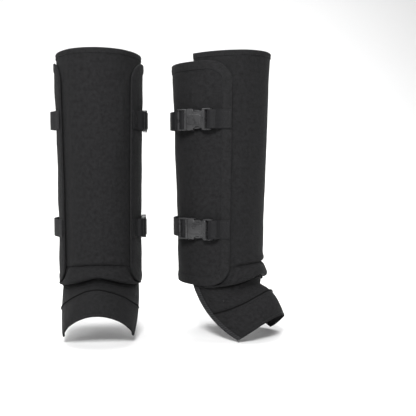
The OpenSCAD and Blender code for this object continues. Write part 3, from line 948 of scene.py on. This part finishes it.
def smooth_path(points, steps):
    """A smooth curve through plan points, evenly divided."""
    dense = []
    pts = [points[0]] + list(points) + [points[-1]]
    for i in range(1, len(pts) - 2):
        p0, p1, p2, p3 = (Vector(pts[i + k]) for k in (-1, 0, 1, 2))
        for k in range(8):
            t = k / 8
            dense.append(0.5 * ((2 * p1) + (p2 - p0) * t + (2 * p0 - 5 * p1 + 4 * p2 - p3) * t * t + (3 * p1 - p0 - 3 * p2 + p3) * t**3))
    dense.append(Vector(pts[-2]))
    lengths = [0.0]
    for a, b in zip(dense, dense[1:]):
        lengths.append(lengths[-1] + (b - a).length)
    even = []
    for i in range(steps + 1):
        want = lengths[-1] * i / steps
        j = max(k for k in range(len(lengths)) if lengths[k] <= want + 1e-9)
        if j >= len(dense) - 1:
            even.append(dense[-1])
        else:
            t = (want - lengths[j]) / max(1e-9, lengths[j + 1] - lengths[j])
            even.append(dense[j].lerp(dense[j + 1], t))
    return even, lengths[-1]


def strap(name, path, z, steps):
    """Webbing on edge along a plan path, its outer face on the path's left as it runs."""
    even, length = smooth_path(path, steps)

    def place(s, t):
        i = min(steps, max(0, round(s * steps)))
        ahead = (even[min(i + 1, steps)] - even[max(i - 1, 0)]).normalized()
        out = Vector((ahead.y, -ahead.x))
        p = even[i] + out * WEBBING_T / 2
        sag = 0.12 * math.sin(math.pi * t)
        return Vector((p.x + out.x * sag, p.y + out.y * sag, z + (t - 0.5) * WEBBING_W)), (s * length, t * WEBBING_W)

    obj, _ = cloth(name, steps, 12, place, WEBBING_T)
    return round_rims(obj, 0.35)


def loop_off(a, level):
    """How far the long strap stands off the inner side, where its slack shows."""
    slack = 5.5 if level == "upper" else 4.6
    lo, hi = 245, 297
    return slack * math.sin(math.radians((a - lo) * 180 / (hi - lo))) ** 2 if lo < a < hi else 0


def slack_rear(a):
    """How far the long strap stands off behind the plug."""
    return 4.6 * (1 - ((a - 125) / 39) ** 2) if a < 164 else 0


def box_stitch(name, side, a_low, a_high, z, d, body):
    """A stitched box with a cross, holding a strap's end down."""
    w = WEBBING_W / 2 - 2.6
    corners = [(a_low, z - w), (a_high, z - w), (a_high, z + w), (a_low, z + w), (a_low, z - w), (a_high, z + w)]
    cross = [(a_high, z - w), (a_low, z + w)]
    for part, run in enumerate((corners, cross)):
        places = []
        for (a0, z0), (a1, z1) in zip(run, run[1:]):
            places += [(mix(a0, a1, i / 16), mix(z0, z1, i / 16), d) for i in range(17)]
        level = z + WEBBING_W / 2
        route = []
        for a, h, off in places:
            p = plan(a, level, off)
            route.append((Vector((p.x, p.y, h)), Vector((math.sin(math.radians(a)), -math.cos(math.radians(a)), 0))))
        stitch_row(f"{name}_{part}", side, route, 2.3, 1.7, 0.42, body)


def build_straps(side, cfg):
    for level, z in STRAP_Z.items():
        top = z + WEBBING_W / 2
        d = STRAP_D + WEBBING_T / 2
        back = [plan(a, top, d + loop_off(a, level) + slack_rear(a)) for a in range(150, 305, 3)] + [plan(INNER_EDGE - 0.5, top, d)]
        piece = strap(f"{side}_{level}_long_strap", back, z, 170)
        finish_piece(piece, side, FINISH["webbing"], BEND, ("inner_straps", "outer_straps"))
        x = buckle_x(z)
        e = PLUG_END
        threaded = [
            (x - 6.1, e + 12), (x - 2.8, e + 7), (x - 0.1, e + 2.3), (x + 0.75, e - 0.3), (x + 1, e - 2.6), (x + 1.9, e - 3.75),
            (x + 3.1, e - 4.05), (x + 4.5, e - 4.25), (x + 5.3, e - 5.3), (x + 5.45, e - 6.9), (x + 5.3, e - 8.5),
            (x + 4.4, e - 9.55), (x + 3.1, e - 9.75), (x + 1.9, e - 10),
        ]
        front = [plan(a, top, d + slack_rear(a)) for a in range(150, 128, -3)] + [Vector(p) for p in threaded]
        front.reverse()
        piece = strap(f"{side}_{level}_plug_strap", front, z, 90)
        bend = ("flap", f"{level}_buckle_plug", (0, 56, z), (0, 38, z))
        finish_piece(piece, side, FINISH["webbing"], bend, (f"{level}_strap_end",))
        f = SOCKET_FRONT
        folded = [
            (x + 1.2, f - 4), (x + 0.95, f + 1.3), (x + 1.15, f + 4.3), (x + 3.4, f + 5.1), (x + 5.6, f + 4.4),
            (x + 5.8, f + 1.4), (x + 5.75, f - 0.6), (x + 4.6, f - 3.2), (x + 3.0, f - 5.6), (x + 2.5, f - 7.4),
        ]
        short = [plan(FLAP_EDGE + 0.5 + i * 3, top, d) for i in range(5)] + [Vector(p) for p in folded]
        piece = strap(f"{side}_{level}_short_strap", short, z, 70)
        finish_piece(piece, side, FINISH["webbing"], "flap", (f"{level}_short_strap",))
        face = STRAP_D + WEBBING_T + 0.1
        box_stitch(f"{side}_{level}_short_strap_box", side, FLAP_EDGE + 2.5, FLAP_EDGE + 11, z, face, "flap")
        box_stitch(f"{side}_{level}_long_strap_box", side, INNER_EDGE - 8, INNER_EDGE - 2, z, face, "gaiter")


# ---------- buckles ----------


def socket_outline():
    """Side outline of the socket, with a finger window let into each long edge."""
    h = BUCKLE_W / 2
    edge = rounded(SOCKET_FRONT, SOCKET_MOUTH, -h, h, 1.8)
    # The window: a rounded V, 15 mm long at the edge and 5 mm deep.
    window = []
    for i in range(17):
        u = i / 16
        depth = 5.0 * math.sin(math.pi * u) ** 0.8
        window.append((WINDOW_Y + 7.6 * math.cos(math.pi * u), h - depth))
    right_top = [p for p in edge if p[1] > 0 and p[0] > 0]
    left_top = [p for p in edge if p[1] > 0 and p[0] < 0]
    left_low = [p for p in edge if p[1] < 0 and p[0] < 0]
    right_low = [p for p in edge if p[1] < 0 and p[0] > 0]
    below = [(y, -z) for y, z in reversed(window)]
    return right_top + window + left_top + left_low + below + right_low


def build_socket(side, level, z):
    x = buckle_x(z)
    lifted = [(y, h + z) for y, h in socket_outline()]
    body = slab(f"{side}_{level}_socket_case", lifted, x, x + BUCKLE_T)
    body = round_rims(body, 0.9, 3)
    f = SOCKET_FRONT
    for y_low, y_high, x_low, x_high in (
        (f + 2.8, f + 8.2, -2, 9), (f - 1, f + 2.9, -1, 2), (f - 1, f + 2.9, 4.8, 9),
    ):
        cut(body, slab("slot", rounded(y_low, y_high, z - 13, z + 13, 0.4), x + x_low, x + x_high))
    inner = BUCKLE_W / 2 - SOCKET_WALL
    cavity = slab(
        "cavity", rounded(WINDOW_Y - 8.5, SOCKET_MOUTH + 4, z - inner, z + inner, 0.6), x + SOCKET_WALL,
        x + BUCKLE_T - SOCKET_WALL,
    )
    cut(body, cavity)
    body = round_rims(body, 0.18, 2)
    # A soft raised pad between the windows, and a ridge beside the slot.
    outer = x + BUCKLE_T
    pad = round_rims(slab("pad", rounded(-9.5, 12, z - 6.9, z + 6.9, 3.2), outer - 1.1, outer + 0.8), 1.6, 4)
    ridge = round_rims(
        slab("ridge", rounded(-14.4, -12.2, z - 11.5, z + 11.5, 0.9), outer - 0.8, outer + 0.9), 0.8, 3,
    )
    body = joined([body, pad, ridge], f"{side}_{level}_socket_case")
    finish_piece(body, side, FINISH["acetal"], "flap", (f"{level}_socket",), 40)


def build_plug(side, level, z):
    x = buckle_x(z)
    h = BUCKLE_W / 2
    bar = 2.4
    gap = (PLUG_END - SOCKET_MOUTH - 1.2 - 3 * bar) / 2
    ladder = slab(
        f"{side}_{level}_plug_ladder", rounded(SOCKET_MOUTH + 0.15, PLUG_END, z - h, z + h, 1.8), x,
        x + BUCKLE_T,
    )
    round_rims(ladder, 0.8, 3)
    middle = PLUG_END - 2 * bar - gap
    for y_low, y_high, x_low, x_high in (
        (middle - gap, PLUG_END - bar, -2, 9),
        (PLUG_END - bar - 0.3, PLUG_END + 2, -1, 2.1),
        (PLUG_END - bar - 0.3, PLUG_END + 2, 5.6, 9),
    ):
        cut(ladder, slab("slot", rounded(y_low, y_high, z - 13, z + 13, 0.3), x + x_low, x + x_high))
    round_rims(ladder, 0.18, 2)
    rung = round_rims(slab("rung", rounded(middle, middle + bar, z - 13.4, z + 13.4, 0.5), x + 1, x + 4.4), 0.4, 2)
    inner_low = x + SOCKET_WALL + SLIDE_GAP
    inner_high = x + BUCKLE_T - SOCKET_WALL - SLIDE_GAP
    guide = slab("guide", rounded(-8.5, SOCKET_MOUTH + 0.8, z - 2.4, z + 2.4, 1.2), inner_low, inner_high)
    root = slab("root", rounded(PIVOT_Y + 1.6, SOCKET_MOUTH + 0.8, z - 11, z + 11, 0.6), inner_low, inner_high)
    for o in (guide, root):
        round_rims(o, 0.4, 2)
    piece = joined([ladder, rung, guide, root], f"{side}_{level}_plug_body")
    finish_piece(piece, side, FINISH["acetal"], f"{level}_buckle_plug", (f"{level}_plug",), 40)
    for name, way in (("top", 1), ("bottom", -1)):
        bulge = h - SOCKET_WALL - SLIDE_GAP - 1.6
        spine = [
            (PIVOT_Y, PIVOT_Z), (PIVOT_Y - 3.5, PIVOT_Z + 1.9), (1.5, bulge - 0.1), (-1.5, bulge),
            (-5, bulge - 0.5), (-9, bulge - 1.8),
        ]
        widths = [1.25, 1.2, 1.35, 1.45, 1.4, 1.1]
        outer, inner = [], []
        for (y, s), w in zip(spine, widths):
            outer.append((y, s + w))
            inner.append((y, s - w))
        outline = [(spine[0][0] + 1.2, spine[0][1])] + outer + [(spine[-1][0] - 1.1, spine[-1][1])] + inner[::-1]
        outline = [(y, z + way * s) for y, s in outline]
        if way < 0:
            outline.reverse()
        arm = slab(f"{side}_{level}_{name}_squeeze_arm", outline, inner_low, inner_high)
        round_rims(arm, 0.45, 3)
        finish_piece(
            arm, side, FINISH["acetal"], f"{level}_{name}_arm",
            (f"{level}_plug_{name}_arm",), 40,
        )


# ---------- settings, operators and panel ----------


class GaiterSettings(bpy.types.PropertyGroup):
    """Sizes and colours that a maker would change."""

    stitch_pitch: FloatProperty(
        name="Stitch length", description="Distance from one stitch to the next, in millimetres", default=3.4,
        min=2, max=6,
    )
    floor_colour: FloatVectorProperty(
        name="Floor colour", description="Colour of the studio floor", subtype="COLOR", size=3,
        default=(0.93, 0.93, 0.93), min=0, max=1,
    )
    floor_drop: FloatProperty(
        name="Floor height", description="Height of the floor under the pair", subtype="DISTANCE",
        unit="LENGTH", default=-0.0755,
    )
    light_power: FloatProperty(
        name="Light power", description="Power of the main softbox in watts", default=22, min=1, max=200,
    )
    sky_strength: FloatProperty(
        name="Sky strength", description="Strength of the even light from all round", default=0.16, min=0,
        max=2,
    )
    sides: IntProperty(
        name="Gaiters", description="How many gaiters are built: one or the pair", default=2, min=1, max=2,
    )


class GaiterStep(bpy.types.Operator):
    """Builds one kind of piece on each gaiter"""

    bl_options = {"REGISTER", "UNDO"}

    def execute(self, context):
        cfg = context.scene.gaiters
        for side in SIDES[: cfg.sides]:
            self.build(side, cfg)
        return {"FINISHED"}


class GAITER_OT_front_shells(GaiterStep):
    """Builds the stiff front shells and their top hems"""

    bl_idname = "gaiter.front_shells"
    bl_label = "Front shells"

    def build(self, side, cfg):
        build_shell(side, cfg)


class GAITER_OT_insides(GaiterStep):
    """Builds the linings and touch fastener, and finishes the shin plates"""

    bl_idname = "gaiter.insides"
    bl_label = "Linings and fastener"

    def build(self, side, cfg):
        build_inside(side, cfg)


class GAITER_OT_ankle_cuffs(GaiterStep):
    """Builds the soft cuffs that hang over the ankle"""

    bl_idname = "gaiter.ankle_cuffs"
    bl_label = "Ankle cuffs"

    def build(self, side, cfg):
        build_cuff(side, cfg)


class GAITER_OT_instep_guards(GaiterStep):
    """Builds the guards over the instep, their overlays and edge tapes"""

    bl_idname = "gaiter.instep_guards"
    bl_label = "Instep guards"

    def build(self, side, cfg):
        build_guard(side, cfg)


class GAITER_OT_backs(GaiterStep):
    """Builds the wrap-round backs with their hems and linings"""

    bl_idname = "gaiter.backs"
    bl_label = "Wrap-round backs"

    def build(self, side, cfg):
        build_back(side, cfg)


class GAITER_OT_straps(GaiterStep):
    """Builds the webbing straps and their box stitches"""

    bl_idname = "gaiter.straps"
    bl_label = "Webbing straps"

    def build(self, side, cfg):
        build_straps(side, cfg)


class GAITER_OT_buckles(GaiterStep):
    """Builds the side-release buckles"""

    bl_idname = "gaiter.buckles"
    bl_label = "Buckles"

    def build(self, side, cfg):
        for level, z in STRAP_Z.items():
            build_socket(side, level, z)
            build_plug(side, level, z)


class GAITER_OT_stage(bpy.types.Operator):
    """Sets the floor, the lights and the camera"""

    bl_idname = "gaiter.stage"
    bl_label = "Studio"

    def execute(self, context):
        cfg = context.scene.gaiters
        scene = context.scene
        m, tree = new_material("studio_floor")
        bsdf = node(
            tree, "ShaderNodeBsdfPrincipled",
            {"Base Color": (*cfg.floor_colour, 1), "Roughness": 0.9, "Specular IOR Level": 0.1},
        )
        finish_tree(tree, bsdf)
        bpy.ops.mesh.primitive_plane_add(size=14, location=(0, 0, 0))
        floor = added("studio_floor")
        # The far edge turns up into a backdrop.
        bpy.ops.object.mode_set(mode="EDIT")
        bpy.ops.mesh.select_all(action="SELECT")
        bpy.ops.mesh.subdivide(number_cuts=40)
        bpy.ops.object.mode_set(mode="OBJECT")
        for v in floor.data.vertices:
            back = max(0, v.co.y - 1.6)
            v.co.z = cfg.floor_drop + (back**2 * 0.5 if back < 2 else 2 + (back - 2) * 2)
        bpy.ops.object.shade_smooth()
        floor.data.materials.append(m)
        world = bpy.data.worlds.new("studio")
        scene.world = world
        world.use_nodes = True
        world.node_tree.nodes["Background"].inputs[0].default_value = (1, 1, 1, 1)
        world.node_tree.nodes["Background"].inputs[1].default_value = cfg.sky_strength
        middle = Vector((0.08, 0, 0.12))
        for name, at, size, power in (
            ("front_softbox", (-0.1, -1.5, 1.25), 0.5, cfg.light_power * 1.95),
            ("right_softbox", (1.4, -1.1, 0.9), 0.7, cfg.light_power * 0.1),
            ("left_softbox", (-1.5, -0.5, 0.8), 0.9, cfg.light_power * 0.08),
            ("top_softbox", (0.1, 0.1, 1.7), 1.2, cfg.light_power * 0.4),
            
        ):
            bpy.ops.object.light_add(type="AREA", location=at)
            lamp = bpy.context.object
            lamp.name = name
            lamp.data.size = size
            lamp.data.energy = power
            lamp.rotation_euler = (middle - Vector(at)).to_track_quat("-Z", "Y").to_euler()
        bpy.ops.object.light_add(type="AREA", location=(0.1, 0.7, 1.6))
        lamp = bpy.context.object
        lamp.name = "backdrop_light"
        lamp.data.size = 2.5
        lamp.data.energy = cfg.light_power * 3.0
        lamp.rotation_euler = Vector((0, 1.4, -1)).to_track_quat("-Z", "Y").to_euler()
        bpy.ops.object.camera_add(location=(0.0663, -1.0096, 0.172))
        camera = bpy.context.object
        camera.name = "camera"
        look = Vector((math.sin(math.radians(5)), math.cos(math.radians(5)), -math.tan(math.radians(3.9))))
        camera.rotation_euler = look.to_track_quat("-Z", "Y").to_euler()
        camera.data.lens = 60.6
        camera.data.sensor_width = 36
        scene.camera = camera
        scene.view_settings.view_transform = "Standard"
        return {"FINISHED"}


STEPS = (
    GAITER_OT_front_shells,
    GAITER_OT_insides,
    GAITER_OT_ankle_cuffs,
    GAITER_OT_instep_guards,
    GAITER_OT_backs,
    GAITER_OT_straps,
    GAITER_OT_buckles,
    GAITER_OT_stage,
)


class GAITER_PT_panel(bpy.types.Panel):
    """Lists the steps and settings of the gaiters"""

    bl_idname = "GAITER_PT_panel"
    bl_label = "Snake gaiters"
    bl_space_type = "VIEW_3D"
    bl_region_type = "UI"
    bl_category = "Gaiters"

    def draw(self, context):
        cfg = context.scene.gaiters
        for name in ("stitch_pitch", "sides", "floor_colour", "floor_drop", "light_power", "sky_strength"):
            self.layout.prop(cfg, name)
        for step in STEPS:
            self.layout.operator(step.bl_idname)


CLASSES = (GaiterSettings, *STEPS, GAITER_PT_panel)


def register():
    for cls in CLASSES:
        bpy.utils.register_class(cls)
    bpy.types.Scene.gaiters = PointerProperty(type=GaiterSettings)


def unregister():
    del bpy.types.Scene.gaiters
    for cls in reversed(CLASSES):
        bpy.utils.unregister_class(cls)


def main():
    register()
    bpy.ops.object.select_all(action="DESELECT")
    for step in STEPS:
        group, name = step.bl_idname.split(".")
        getattr(getattr(bpy.ops, group), name)()


if __name__ == "__main__":
    main()
